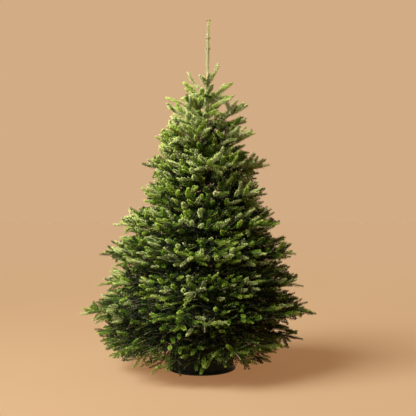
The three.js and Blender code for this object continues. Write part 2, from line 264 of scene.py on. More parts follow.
def ring_rise(ring):
    """The slope of a ring's boughs, steeper higher up."""
    share = ring / LAST_RING
    return tan(radians(RISE_LOW + RISE_LINEAR * share + RISE_SQUARE * share * share))


def ring_reach(ring):
    if ring == 0:
        return SKIRT_REACH
    if ring == LAST_RING:
        return TOP_REACH
    return cone_radius(foot_height(ring)) / (1 + CONE_SLOPE * ring_rise(ring))


def cone_radius(height):
    """How far out the crown's surface is at this height."""
    return CONE_RADIUS + CONE_SLOPE * (CONE_HEIGHT - height)


REACHES = [ring_reach(ring) for ring in range(LAST_RING + 1)]
RISES = [ring_rise(ring) for ring in range(LAST_RING + 1)]


def ring_height(ring, radius):
    """How high a ring's boughs are at this radius, a little bowed between foot and tip."""
    reach = REACHES[ring]
    bow = BOW * reach * sin(pi * min(radius, reach) / reach)
    return foot_height(ring) + radius * RISES[ring] + bow


def trunk_radius(height):
    if height > TRUNK_TOP:
        return mix(LEADER_RADIUS, LEADER_TIP_RADIUS, (height - TRUNK_TOP) / (TREE_HEIGHT - TRUNK_TOP))
    return mix(TRUNK_RADIUS, TRUNK_TOP_RADIUS, height / TRUNK_TOP) + FLARE * exp(-height / FLARE_HEIGHT)


class Bough:
    """One bough's stem and the wedge of the crown that its foliage keeps to."""

    def __init__(self, ring, place):
        draws = Draws(SEEDS_PER_RING * ring + place)
        turn = RING_TURN + GOLDEN_ANGLE * ring + 360 * place / RING_BOUGHS[ring]
        self.ring = ring
        self.place = place
        self.name = f"{ring + 1}_{place + 1}"
        self.azimuth = radians(turn + draws.spread(AZIMUTH_JITTER))
        bias = 1 - REACH_BIAS * cos(self.azimuth)
        self.reach = REACHES[ring] * bias * (1 + draws.spread(REACH_JITTER))
        self.lift = draws.spread(FOOT_JITTER)
        self.tilt = draws.spread(TILT_JITTER)
        self.draws = draws
        # The wedge's two sides, as turns from the azimuth, and the shoots that grow in it
        self.left = 0.0
        self.right = 0.0
        self.shoots = []

    def point(self, radius):
        height = ring_height(self.ring, radius) + self.lift + self.tilt * radius
        return Vector((radius * cos(self.azimuth), radius * sin(self.azimuth), height))

    def radius_at(self, share):
        """The stem's own thickness, this share of the way out."""
        if self.ring < RINGS_WITH_LIMBS and share < LIMB_SHARE:
            return mix(LIMB_RADIUS, LIMB_TIP_RADIUS, share / LIMB_SHARE)
        foot = mix(STEM_RADIUS_LOW, STEM_RADIUS_HIGH, self.ring / LAST_RING)
        if self.ring < RINGS_WITH_LIMBS:
            return mix(LIMB_TIP_RADIUS, STEM_TIP_RADIUS, (share - LIMB_SHARE) / (1 - LIMB_SHARE))
        return mix(foot, STEM_TIP_RADIUS, share)

    def heights(self, radius):
        """The bottom of the bough's space at this radius, its stem, and the top of its space."""
        middle = ring_height(self.ring, radius)
        above, below = middle + CROWN_ROOM, middle - SKIRT_ROOM
        if self.ring < LAST_RING:
            above = (ring_height(self.ring + 1, radius) + middle) / 2
        if self.ring > 0:
            below = (ring_height(self.ring - 1, radius) + middle) / 2
        else:
            below -= SKIRT_DROOP * min(1, radius / self.reach)
        return below, middle, above

    def holds(self, point):
        """Whether a point is in this bough's wedge, or as near to it as shoots may cross."""
        radius = hypot(point.x, point.y)
        turn = atan2(point.y, point.x) - self.azimuth
        off = atan2(sin(turn), cos(turn))
        below, _, above = self.heights(radius)
        left_room = radius * sin(self.left - off)
        right_room = radius * sin(off - self.right)
        room = min(above - point.z, point.z - below, left_room, right_room)
        return room > -CELL_OVERLAP and radius <= self.reach + REACH_SLACK


def ring_of_boughs(ring):
    """A ring's boughs, each with its wedge: half the gap to the next bough on either side."""
    boughs = [Bough(ring, place) for place in range(RING_BOUGHS[ring])]
    for place, bough in enumerate(boughs):
        after = boughs[(place + 1) % len(boughs)]
        gap = (after.azimuth - bough.azimuth) % (2 * pi)
        bough.left = gap / 2
        after.right = -gap / 2
    return boughs


# Finer growth on those boughs


class Shoot:
    """One year's growth of a twig: a straight length that carries needles, or has lost them."""

    def __init__(self, parent, foot, tip, order, age):
        self.parent = parent
        self.foot = foot
        self.tip = tip
        self.order = order
        self.age = age
        # Whether it has needles, and whether it or any shoot beyond it has them
        self.needled = False
        self.carries = False
        # Its ring, how deep in the crown it counts as being, and a draw that shuffles shoots of like depth
        self.ring = 0
        self.depth = 0.0
        self.shuffle = 0.0

    @property
    def middle(self):
        return (self.foot + self.tip) / 2

    def joins(self, other):
        """Whether one carries the other, or both grow on the same year's length."""
        return other.parent is self.parent or other is self.parent or other.parent is self


def bough_years(bough):
    """How many years' growth a bough has: one at the top, two below it, and then as its length takes."""
    if bough.ring >= DENSE_RINGS:
        return LAST_RING + 1 - bough.ring
    year = mix(YEAR_LOW, YEAR_HIGH, bough.ring / LAST_RING)
    length = (bough.point(bough.reach) - bough.point(0)).length
    return round(length / year)


def sloping(heading, slope, length):
    """A step of this length towards a heading, up or down a slope."""
    flat = length / hypot(1, slope)
    return Vector((cos(heading) * flat, sin(heading) * flat, slope * flat))


def grow_side(bough, shoots, parent, start, heading, level, away, years, order, growth):
    """A side twig, year by year, which keeps to one level of its bough's space and branches as it goes."""
    draws = bough.draws
    for year in range(years):
        age = years - 1 - year
        length = growth * (1 + draws.spread(YEAR_JITTER))
        heading += draws.spread(radians(HEADING_JITTER))
        away += length
        x = start.x + length * cos(heading)
        y = start.y + length * sin(heading)
        below, middle, above = bough.heights(hypot(x, y))
        room = above - middle if level > 0 else middle - below
        target = middle + bough.lift + level * room * min(1, away / LEVEL_RUN)
        slope = max(-STEEPEST, min(STEEPEST, (target - start.z) / length)) + draws.spread(SLOPE_JITTER)
        if age == 0:
            slope += TIP_RISES[bough.ring] * mix(LEVEL_TIP_RISE, 1, level) + draws.spread(TIP_RISE_JITTER)
        tip = start + sloping(heading, slope, length)
        if not bough.holds(tip):
            tip = start.lerp(tip, KEPT_SHARE)
            if (tip - start).length < LEAST_SHOOT or not bough.holds(tip):
                return
        shoot = Shoot(parent, start, tip, order, age)
        shoots.append(shoot)
        if order < SIDE_ORDERS and age > 0:
            branch(bough, shoots, shoot, heading, level, away, growth)
        parent, start = shoot, tip


def branch(bough, shoots, shoot, heading, level, away, growth):
    """Side twigs of a twig: one to each side at a year's end, and now and then a short one before it."""
    draws = bough.draws
    for side in (1, -1):
        angle = side * radians(SIDE_ANGLE + draws.spread(SIDE_ANGLE_JITTER))
        grow_side(bough, shoots, shoot, shoot.tip, heading + angle, level + draws.spread(LEVEL_JITTER),
                  away, shoot.age, shoot.order + 1, growth * SIDE_GROWTH)
        if draws.share() < SHORT_CHANCE:
            start = shoot.foot.lerp(shoot.tip, SHORT_PLACE + draws.spread(SHORT_PLACE_JITTER))
            angle = side * radians(SIDE_ANGLE + SHORT_OPENING + draws.spread(SIDE_ANGLE_JITTER))
            grow_side(bough, shoots, shoot, start, heading + angle,
                      level + draws.spread(SHORT_LEVEL_JITTER), away, min(SHORT_YEARS, shoot.age),
                      shoot.order + 1, growth * SIDE_GROWTH * SHORT_GROWTH)


def grow_bough(bough):
    """The stem's own years, and side twigs from them."""
    years = bough_years(bough)
    foot = trunk_radius(foot_height(bough.ring))
    year_reach = (bough.reach - foot) / years
    growth = (bough.point(bough.reach) - bough.point(foot)).length / years
    shoots, parent = [], None
    for year in range(years):
        age = years - 1 - year
        inner = bough.point(bough.reach - (age + 1) * year_reach)
        outer = bough.point(bough.reach - age * year_reach)
        parent = Shoot(parent, inner, outer, 0, age)
        shoots.append(parent)
    if bough.ring < DENSE_RINGS:
        grow_fans(bough, shoots, growth)
    else:
        grow_open_twigs(bough, shoots, foot)
    return shoots


def grow_fans(bough, shoots, growth):
    """Side twigs at each level of the bough's space from every year but the last."""
    draws = bough.draws
    for shoot in shoots[:-1]:
        for turn, level in enumerate(FAN_LEVELS):
            for side in (1, -1):
                start = shoot.tip
                if level != 0:
                    start = shoot.tip.lerp(shoot.foot, FAN_PLACE + draws.spread(FAN_PLACE_JITTER))
                angle = side * radians(SIDE_ANGLE + FAN_OPENING * turn + draws.spread(SIDE_ANGLE_JITTER))
                grow_side(bough, shoots, shoot, start, bough.azimuth + angle, level, 0, shoot.age, 1,
                          growth * SIDE_GROWTH)


def grow_open_twigs(bough, shoots, foot):
    """The few side twigs of a bough near the top, which reach as far out as its stem."""
    stem = list(shoots)
    for share, side, pitch in TOP_TWIGS if bough.ring == LAST_RING else OPEN_TWIGS:
        radius = max(foot, share * bough.reach)
        parent = stem[min(len(stem) - 1, int(share * len(stem)))]
        angle = radians(side + bough.draws.spread(SIDE_ANGLE_JITTER))
        length = (bough.reach - radius) / cos(angle)
        years = 1 if length < LONGEST_YEAR else 2
        grow_side(bough, shoots, parent, bough.point(radius), bough.azimuth + angle, pitch / FULL_PITCH, 0,
                  years, SIDE_ORDERS - 1, length / years)


def grow_sprig(bough, rise, turn):
    """A small twig on the trunk, between this ring and the one above."""
    draws = bough.draws
    rise += draws.spread(SPRIG_HEIGHT_JITTER)
    height = mix(foot_height(bough.ring), foot_height(bough.ring + 1), rise)
    heading = bough.azimuth + bough.left * turn + draws.spread(SPRIG_TURN_JITTER)
    start = on_trunk(height, heading)
    length = SPRIG_REACH * bough.reach
    years = round(length / SPRIG_YEAR)
    slope = SPRIG_RISE + RISES[bough.ring]
    shoots, parent = [], None
    for year in range(years):
        age = years - 1 - year
        parent = add_sprig_year(shoots, parent, start, heading, slope, length / years, 0, age)
        start = parent.tip
        for side in (1, -1) if age else ():
            angle = heading + side * radians(SIDE_ANGLE + draws.spread(SIDE_ANGLE_JITTER))
            add_sprig_year(shoots, parent, start, angle, slope, length / years * SIDE_GROWTH, 1, 0)
    return shoots


def grow_top_sprig(height, turn, length, slope):
    """A single shoot on the trunk, in a gentler half and a steeper one."""
    shoots, heading, half = [], radians(turn), length / 2
    start = on_trunk(height, heading)
    lower = add_sprig_year(shoots, None, start, heading, slope * LOW_BEND, half, 0, 1)
    add_sprig_year(shoots, lower, lower.tip, heading, slope * HIGH_BEND, half, 0, 0)
    return shoots


def on_trunk(height, heading):
    foot = trunk_radius(height)
    return Vector((foot * cos(heading), foot * sin(heading), height))


def add_sprig_year(shoots, parent, start, heading, slope, length, order, age):
    shoots.append(Shoot(parent, start, start + sloping(heading, slope, length), order + 1, age))
    return shoots[-1]


class Room:
    """Keeps shoots apart: looks up which of those already there are near."""

    def __init__(self, size):
        self.size = size
        self.cells = {}

    def cell(self, point):
        return tuple(floor(value / self.size) for value in point)

    def crowded(self, shoot, least):
        """Whether a shoot is too near to others, leaving out those of its own spray."""
        x, y, z = self.cell(shoot.middle)
        for dx in (-1, 0, 1):
            for dy in (-1, 0, 1):
                for dz in (-1, 0, 1):
                    for other in self.cells.get((x + dx, y + dy, z + dz), ()):
                        near = (other.middle - shoot.middle).length < least
                        if near and not shoot.joins(other):
                            return True
        return False

    def take(self, shoot):
        self.cells.setdefault(self.cell(shoot.middle), []).append(shoot)


def crown_of(context):
    sizes = context.scene.fir_crown
    return grow_crown(sizes.outer_room, sizes.inner_room, sizes.inner_depth)


@lru_cache
def grow_crown(outer_room, inner_room, inner_depth):
    """All boughs with their shoots. Outer shoots get needles first, and inner ones where there is room."""
    boughs = [bough for ring in range(LAST_RING + 1) for bough in ring_of_boughs(ring)]
    draws = Draws(CROWN_SEED)
    for bough in boughs:
        bough.shoots = grow_bough(bough) + grow_on_trunk(bough)
        for shoot in bough.shoots:
            shoot.ring = bough.ring
            shoot.depth = depth_of(shoot, bough)
            shoot.shuffle = draws.spread(PICK_JITTER)
    young = [shoot for bough in boughs for shoot in bough.shoots if shoot.age < NEEDLE_YEARS]
    young.sort(key=lambda shoot: (shoot.order > 0 or shoot.age > STEM_YEARS,
                                  shoot.depth + (shoot.parent or shoot).shuffle))
    room = Room(inner_room)
    for shoot in young:
        share = max(0, min(1, shoot.depth / inner_depth))
        least = mix(outer_room, inner_room, share) * mix(1, HIGH_ROOM, shoot.ring / LAST_RING)
        if not room.crowded(shoot, least):
            room.take(shoot)
            give_needles(shoot)
    return boughs


def grow_on_trunk(bough):
    """What grows straight from the trunk near a bough: sprigs, or a single shoot under the leader."""
    if bough.ring < LAST_RING:
        return [shoot for place in SPRIG_PLACES for shoot in grow_sprig(bough, *place)]
    if bough.place < len(TOP_SPRIGS):
        return grow_top_sprig(*TOP_SPRIGS[bough.place])
    return []


def depth_of(shoot, bough):
    """How far in from the crown's outside a shoot counts as being."""
    radius = hypot(shoot.tip.x, shoot.tip.y)
    depth = min(bough.reach, cone_radius(shoot.tip.z)) - radius
    if bough.ring >= DENSE_RINGS:
        return depth * OPEN_DEPTH
    if bough.ring == 0 and shoot.tip.z < ring_height(0, radius) - UNDERSIDE:
        return depth * UNDER_DEPTH
    return depth


def give_needles(shoot):
    """Gives a shoot its needles. It and the shoots that it grew from carry them."""
    shoot.needled = True
    while shoot is not None and not shoot.carries:
        shoot.carries = True
        shoot = shoot.parent


def leaned(points):
    """The grown points, leaned as the whole tree leans."""
    points = np.array(points, float)
    points[..., 0] += LEAN / TREE_HEIGHT * points[..., 2]
    return points


def lean_shape(shape):
    for corner in shape.verts:
        corner.co.x += LEAN / TREE_HEIGHT * corner.co.z


# Meshes


def mesh_from_arrays(name, points, triangles, kinds, materials):
    """A joined mesh of many small things, with one material kind for each triangle."""
    mesh = bpy.data.meshes.new(name)
    mesh.vertices.add(len(points))
    mesh.vertices.foreach_set("co", np.asarray(points, np.float32).ravel())
    mesh.loops.add(len(triangles) * 3)
    mesh.loops.foreach_set("vertex_index", np.asarray(triangles, np.int32).ravel())
    mesh.polygons.add(len(triangles))
    mesh.polygons.foreach_set("loop_start", np.arange(0, len(triangles) * 3, 3, dtype=np.int32))
    for material in materials:
        mesh.materials.append(material)
    mesh.polygons.foreach_set("material_index", np.asarray(kinds, np.int32).ravel())
    mesh.update(calc_edges=True)
    return show(name, mesh)


def show(name, mesh):
    """A piece of the tree, which stands on the one body that there is."""
    piece = bpy.data.objects.new(name, mesh)
    bpy.context.scene.collection.objects.link(piece)
    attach(piece, "root")
    return piece


def mesh_from_bmesh(name, shape, material):
    mesh = bpy.data.meshes.new(name)
    shape.to_mesh(mesh)
    shape.free()
    mesh.materials.append(material)
    mesh.shade_smooth()
    return show(name, mesh)


def spun(profile, turns):
    """A profile of radius and height, turned once round the Z axis."""
    shape = bmesh.new()
    corners = [shape.verts.new((radius, 0, height)) for radius, height in profile]
    edges = [shape.edges.new(pair) for pair in zip(corners, corners[1:])]
    bmesh.ops.spin(shape, geom=corners + edges, cent=(0, 0, 0), axis=(0, 0, 1), angle=2 * pi,
                   steps=turns, use_merge=True)
    bmesh.ops.remove_doubles(shape, verts=shape.verts, dist=TURNED_WELD)
    bmesh.ops.recalc_face_normals(shape, faces=shape.faces)
    return shape


def ease_edges(shape, sharp, easing, shortest=0.0, clamped=False):
    """Rounds a little every edge that is sharper than this many degrees and longer than the shortest."""
    edges = [edge for edge in shape.edges
             if len(edge.link_faces) == 2 and edge.calc_face_angle(0) > radians(sharp)
             and edge.calc_length() > shortest]
    bmesh.ops.bevel(shape, geom=edges, offset=easing, segments=2, profile=0.5, material=-1,
                    affect="EDGES", clamp_overlap=clamped)


def tubes_on_curves(name, limbs):
    """Round tubes with closed ends, each along its own points with its own radii."""
    curve = bpy.data.curves.new(name, "CURVE")
    curve.dimensions = "3D"
    curve.bevel_depth = 1
    curve.bevel_resolution = 3
    curve.use_fill_caps = True
    for points, radii in limbs:
        line = curve.splines.new("POLY")
        line.points.add(len(points) - 1)
        for knot, point, radius in zip(line.points, points, radii):
            knot.co = (*point, 1)
            knot.radius = radius
    holder = bpy.data.objects.new(name, curve)
    bpy.context.scene.collection.objects.link(holder)
    mesh = bpy.data.meshes.new_from_object(holder.evaluated_get(bpy.context.evaluated_depsgraph_get()))
    shape = bmesh.new()
    shape.from_mesh(mesh)
    bpy.data.objects.remove(holder)
    bpy.data.curves.remove(curve)
    bpy.data.meshes.remove(mesh)
    bmesh.ops.remove_doubles(shape, verts=shape.verts, dist=TUBE_WELD)
    bmesh.ops.recalc_face_normals(shape, faces=shape.faces)
    return shape


def unit(vectors):
    return vectors / np.linalg.norm(vectors, axis=-1, keepdims=True)


def sides_of(along):
    """For each direction, the level one across it and the one over it that is square to both."""
    across = unit(np.cross([0.0, 0.0, 1.0], along))
    return across, np.cross(along, across)


def needle_arrays(feet, tips, overs, count, length, width, draws, opening=NEEDLE_OPENING,
                  fullness=NEEDLE_FULLNESS, stalk=NEEDLE_STALK):
    """Needles all round shoots: four-sided blades, keeled beneath, that lean towards the shoot's tip.

    The opening goes from the shoot's foot to its tip. The fullness is to the sides, above and below. It
    returns points and triangles, and each blade's share of the way out."""
    shoots = len(feet)
    axis = unit(tips - feet)[:, None]
    across = unit(np.cross(overs, axis[:, 0]))[:, None]
    over = np.cross(axis, across)
    size = np.linalg.norm(tips - feet, axis=1)[:, None, None]
    step = np.arange(count)
    place = step + draws.uniform(-STEP_JITTER, STEP_JITTER, (shoots, count)) + FIRST_STEP
    share = np.clip(place / count, 0, 1)[..., None]
    roll = (radians(GOLDEN_ANGLE) * step + draws.uniform(0, 2 * pi, (shoots, 1)))[..., None]
    roll = roll + draws.uniform(-TURN_JITTER, TURN_JITTER, (shoots, count, 1))
    lean = mix(*opening, share**OPENING_POWER)
    lean = np.radians(lean + draws.uniform(-OPENING_JITTER, OPENING_JITTER, (shoots, count, 1)))
    wide, above, below = fullness
    lift = np.cos(roll)
    lift = np.where(lift > 0, above * lift, below * lift)
    out = unit(across * np.sin(roll) * wide + over * lift)
    way = unit(axis * np.cos(lean) + out * np.sin(lean))
    root = feet[:, None] + axis * size * mix(BARE_FOOT, 1.0, share) + out * stalk
    flat = unit(out + NEEDLE_ROLL * draws.normal(size=way.shape))
    flat = unit(flat - way * np.sum(flat * way, axis=-1, keepdims=True))
    side = np.cross(flat, way)
    blade = length * (END_LENGTH + MIDDLE_LENGTH * np.sin(pi * share**MIDDLE_POWER))
    blade = blade * (1 + draws.uniform(-LENGTH_JITTER, LENGTH_JITTER, (shoots, count, 1)))
    end = root + way * blade
    shoulder = root + way * blade * SHOULDER + flat * width * KEEL
    left = shoulder + side * width / 2
    right = shoulder - side * width / 2
    points = np.stack([root, left, right, end], axis=2).reshape(-1, 3)
    first = np.arange(shoots * count)[:, None, None] * BLADE_CORNERS
    triangles = first + np.array(BLADE_FACES)
    return points, triangles.reshape(-1, 3), share[..., 0]


def tube_arrays(feet, tips, foot_radii, tip_radii, sides):
    """Straight tapering twigs with closed ends: points, triangles and how many triangles each twig has."""
    count = len(feet)
    across, over = sides_of(unit(tips - feet))
    turn = 2 * pi * np.arange(sides) / sides
    ring = across[:, None] * np.cos(turn)[:, None] + over[:, None] * np.sin(turn)[:, None]
    lower = feet[:, None] + ring * foot_radii[:, None, None]
    upper = tips[:, None] + ring * tip_radii[:, None, None]
    points = np.concatenate([lower, upper], axis=1).reshape(-1, 3)
    faces = []
    for place in range(sides):
        after = (place + 1) % sides
        faces += [[place, after, sides + after], [place, sides + after, sides + place]]
    for place in range(1, sides - 1):
        faces += [[0, place + 1, place], [sides, sides + place, sides + place + 1]]
    first = np.arange(count)[:, None, None] * 2 * sides
    return points, (first + np.array(faces)).reshape(-1, 3), len(faces)


# Finishes


def finish(name, colour, roughness, **sockets):
    """A material whose colour is the same all over."""
    material = bpy.data.materials.new(name)
    material.use_nodes = True
    shader = material.node_tree.nodes["Principled BSDF"]
    shader.inputs["Base Color"].default_value = (*colour, 1)
    shader.inputs["Roughness"].default_value = roughness
    for socket, value in sockets.items():
        shader.inputs[socket.replace("_", " ")].default_value = value
    return material


class Nodes:
    """Short words for laying out a material's nodes."""

    def __init__(self, name, roughness):
        self.material = finish(name, (0.5, 0.5, 0.5), roughness)
        self.tree = self.material.node_tree
        self.shader = self.tree.nodes["Principled BSDF"]
        self.place = self.tree.nodes.new("ShaderNodeTexCoord").outputs["Object"]

    def link(self, start, end):
        self.tree.links.new(start, end)

    def scaled(self, scale):
        mapping = self.tree.nodes.new("ShaderNodeMapping")
        mapping.inputs["Scale"].default_value = scale
        self.link(self.place, mapping.inputs["Vector"])
        return mapping.outputs["Vector"]

    def noise(self, scale, detail, roughness, stretch=(1, 1, 1)):
        node = self.tree.nodes.new("ShaderNodeTexNoise")
        node.inputs["Scale"].default_value = scale
        node.inputs["Detail"].default_value = detail
        node.inputs["Roughness"].default_value = roughness
        self.link(self.scaled(stretch), node.inputs["Vector"])
        return node.outputs["Fac"]

    def cracks(self, scale, stretch):
        node = self.tree.nodes.new("ShaderNodeTexVoronoi")
        node.feature = "DISTANCE_TO_EDGE"
        node.inputs["Scale"].default_value = scale
        self.link(self.scaled(stretch), node.inputs["Vector"])
        return node.outputs["Distance"]

    def height(self, low, high):
        """From 0 at one height of the object to 1 at another."""
        split = self.tree.nodes.new("ShaderNodeSeparateXYZ")
        self.link(self.place, split.inputs["Vector"])
        return self.ranged(split.outputs["Z"], (low, high), (0, 1))

    def ranged(self, value, before, after):
        """A value's own range, before, laid over another, after."""
        node = self.tree.nodes.new("ShaderNodeMapRange")
        for socket, number in zip(("From Min", "From Max", "To Min", "To Max"), (*before, *after)):
            node.inputs[socket].default_value = number
        self.link(value, node.inputs["Value"])
        return node.outputs["Result"]

    def ramp(self, value, stops):
        node = self.tree.nodes.new("ShaderNodeValToRGB")
        elements = node.color_ramp.elements
        while len(elements) < len(stops):
            elements.new(1.0)
        for element, (place, colour) in zip(elements, stops):
            element.position = place
            element.color = (*colour, 1)
        self.link(value, node.inputs["Fac"])
        return node.outputs["Color"]

    def blend(self, factor, first, second):
        node = self.tree.nodes.new("ShaderNodeMix")
        node.data_type = "RGBA"
        colours = [socket for socket in node.inputs if socket.type == "RGBA"]
        self.set(node.inputs[0], factor)
        self.set(colours[0], first)
        self.set(colours[1], second)
        return [socket for socket in node.outputs if socket.type == "RGBA"][0]

    def set(self, socket, source):
        if isinstance(source, bpy.types.NodeSocket):
            self.link(source, socket)
        elif isinstance(source, tuple):
            socket.default_value = (*source, 1)
        else:
            socket.default_value = source

    def bump(self, height, strength, distance):
        node = self.tree.nodes.new("ShaderNodeBump")
        node.inputs["Strength"].default_value = strength
        node.inputs["Distance"].default_value = distance
        self.link(height, node.inputs["Height"])
        self.link(node.outputs["Normal"], self.shader.inputs["Normal"])

    def done(self, colour, roughness=None):
        self.link(colour, self.shader.inputs["Base Color"])
        if roughness is not None:
            self.link(roughness, self.shader.inputs["Roughness"])
        return self.material


def darker(colour, *shares):
    """A share of a colour, the same for all its channels or one for each."""
    shares = shares if len(shares) > 1 else shares * len(colour)
    return tuple(value * share for value, share in zip(colour, shares))


def paler(colour, more):
    return tuple(value + more for value in colour)


def trunk_finish(colour):
    """Grey-brown bark with long cracks, which grows smooth and tan towards the leader."""
    nodes = Nodes("trunk_bark", roughness=0.85)
    dark = darker(colour, 0.35)
    grey = paler(darker(colour, 0.5), 0.14)
    cracks = nodes.cracks(scale=55, stretch=(1, 1, 0.28))
    flakes = nodes.noise(scale=38, detail=6, roughness=0.65, stretch=(1, 1, 0.5))
    rough = nodes.ramp(flakes, [(0.3, dark), (0.52, tuple(colour)), (0.72, grey)])
    seamed = nodes.blend(nodes.ranged(cracks, (0, 0.12), (0.75, 0)), rough, dark)
    mottle = nodes.noise(scale=60, detail=4, roughness=0.6)
    tan_bark, pale_bark = (0.23, 0.18, 0.055), (0.34, 0.28, 0.10)
    young = nodes.ramp(mottle, [(0.35, tan_bark), (0.65, pale_bark)])
    grown = nodes.blend(nodes.height(low=0.9, high=1.7), seamed, young)
    nodes.bump(flakes, strength=0.6, distance=0.003)
    return nodes.done(grown, roughness=nodes.ranged(flakes, (0.3, 0.7), (0.95, 0.7)))


def bough_finish(colour):
    """Thin brown bark with small bumps and paler specks."""
    nodes = Nodes("bough_bark", roughness=0.8)
    specks = nodes.noise(scale=150, detail=5, roughness=0.6)
    dark, brown, pale = darker(colour, 0.4), darker(colour, 0.7, 0.57, 0.42), (0.11, 0.07, 0.034)
    shade = nodes.ramp(specks, [(0.3, dark), (0.55, brown), (0.75, pale)])
    nodes.bump(specks, strength=0.5, distance=0.0012)
    return nodes.done(shade, roughness=nodes.ranged(specks, (0.3, 0.7), (0.9, 0.65)))


def tank_finish(colour):
    """Near-black moulded plastic with a fine grain, scuffed and a little dusty low down. Its near-black is
    partly painted shade from the crown above.
    """
    nodes = Nodes("tank_plastic", roughness=0.35)
    grain = nodes.noise(scale=900, detail=2, roughness=0.5)
    scuffs = nodes.noise(scale=14, detail=6, roughness=0.7)
    # Both body tones are set well below the plastic's own colour: partly painted shade from the crown above
    dark, worn, dust = darker(colour, 0.12, 0.2, 0.3), darker(colour, 0.3, 0.5, 0.75), (0.16, 0.13, 0.10)
    body = nodes.ramp(scuffs, [(0.35, dark), (0.8, worn)])
    dusty = nodes.ranged(nodes.height(low=0.0, high=0.02), (0, 1), (0.02, 0))
    nodes.shader.inputs["Specular IOR Level"].default_value = 0.14
    nodes.bump(grain, strength=0.15, distance=0.0004)
    rough = nodes.ranged(scuffs, (0.3, 0.7), (0.30, 0.45))
    return nodes.done(nodes.blend(dusty, body, dust), roughness=rough)


def clamp_finish(colour):
    """Dark painted steel, its paint rubbed in small patches."""
    nodes = Nodes("clamp_steel", roughness=0.45)
    patches = nodes.noise(scale=60, detail=5, roughness=0.7)
    bare = (0.30, 0.28, 0.25)
    paint = nodes.ramp(patches, [(0.5, tuple(colour)), (0.72, paler(colour, 0.05)), (0.8, bare)])
    nodes.shader.inputs["Metallic"].default_value = 0.6
    nodes.bump(patches, strength=0.2, distance=0.0005)
    return nodes.done(paint, roughness=nodes.ranged(patches, (0.4, 0.8), (0.35, 0.6)))


def floor_finish(settings):
    """Plain paper, a little darker far off, with a faint glow that keeps its shadows warm and soft."""
    nodes = Nodes("studio_floor", roughness=0.7)
    nodes.shader.inputs["Emission Color"].default_value = (*settings.glow, 1)
    nodes.shader.inputs["Emission Strength"].default_value = settings.glow_strength
    nodes.shader.inputs["Specular IOR Level"].default_value = 0.0
    distance = nodes.tree.nodes.new("ShaderNodeVectorMath")
    distance.operation = "LENGTH"
    nodes.link(nodes.place, distance.inputs[0])
    away = nodes.ranged(distance.outputs["Value"], (1.5, 9), (0, 1))
    clouds = nodes.noise(scale=1.2, detail=3, roughness=0.5)
    paper = nodes.ramp(clouds, [(0.3, darker(settings.floor, 0.97)), (0.7, tuple(settings.floor))])
    return nodes.done(nodes.blend(away, paper, tuple(settings.far_floor)))


# Settings


def colour_setting(name, description, default):
    return FloatVectorProperty(name=name, description=description, subtype="COLOR", size=3,
                               min=0, max=1, default=default)


def length_setting(name, description, default, low, high):
    return FloatProperty(name=name, description=description, default=default, min=low, max=high,
                         precision=5, subtype="DISTANCE", unit="LENGTH")


class FirCrownSettings(bpy.types.PropertyGroup):
    needle_length: length_setting(
        "Needle length", "Length of a needle low down, at the middle of its shoot", 0.0168, 0.010, 0.040)
    needle_width: length_setting(
        "Needle width", "Breadth of an outer needle, larger than life", 0.0041, 0.001, 0.008)
    needle_spacing: length_setting(
        "Needle spacing", "Length of outer shoot for each needle on it", 0.00148, 0.0002, 0.01)
    outer_room: length_setting(
        "Outer room", "How near the middles of two outer shoots may be", 0.0308, 0.01, 0.2)
    inner_room: length_setting(
        "Inner room", "How near the middles of two inner shoots may be", 0.044, 0.01, 0.2)
    inner_depth: length_setting(
        "Inner depth", "How far in from the crown's outside its shoots thin out fully", 0.30, 0.05, 1)


class FirColourSettings(bpy.types.PropertyGroup):
    # The deep and shaded tints are painted shade: needles inside the crown made darker than their own green
    deep: colour_setting("Deep needles", "Needles in the shade inside the crown", (0.004, 0.012, 0.002))
    shade: colour_setting("Shaded needles", "Needles a little way in", (0.050, 0.112, 0.005))
    green: colour_setting("Green needles", "Most needles outside", (0.155, 0.245, 0.014))
    fresh: colour_setting("Fresh needles", "Paler outer needles", (0.315, 0.395, 0.060))
    lime: colour_setting("Lime needles", "Fresh needles at the tips of their shoots", (0.36, 0.44, 0.09))
    # The frost tint is partly painted sheen, pale highlights put in the colour of high shoots, and partly
    # the silvery undersides seen from below
    frost: colour_setting("Frosted needles", "Pale needles, more of them high up", (0.45, 0.51, 0.165))
    beneath: colour_setting("Frosted beneath", "Undersides of frosted needles", (0.27, 0.335, 0.085))
    leader: colour_setting("Leader needles", "Needles on the leader", (0.22, 0.33, 0.06))
    leader_beneath: colour_setting("Leader beneath", "Undersides of leader needles", (0.36, 0.54, 0.36))
    young_twig: colour_setting("Young twigs", "Bark of young twigs with needles", (0.11, 0.080, 0.026))
    # The old twigs' near-black is partly old bark and partly painted shade inside the crown
    old_twig_and_painted_shade: colour_setting("Old twigs", "Bark of older and bare twigs", (0.018, 0.014, 0.008))
    bud: colour_setting("Buds", "Resting buds at the shoot tips", (0.21, 0.19, 0.055))
    bark: colour_setting("Bark", "Trunk and boughs", tuple(SLOT_COLOURS["bark"]))
    tank: colour_setting("Tank", "The stand's plastic", tuple(SLOT_COLOURS["stand_plastic"]))
    clamp: colour_setting("Clamp", "The stand's painted steel", tuple(SLOT_COLOURS["clamp_metal"]))


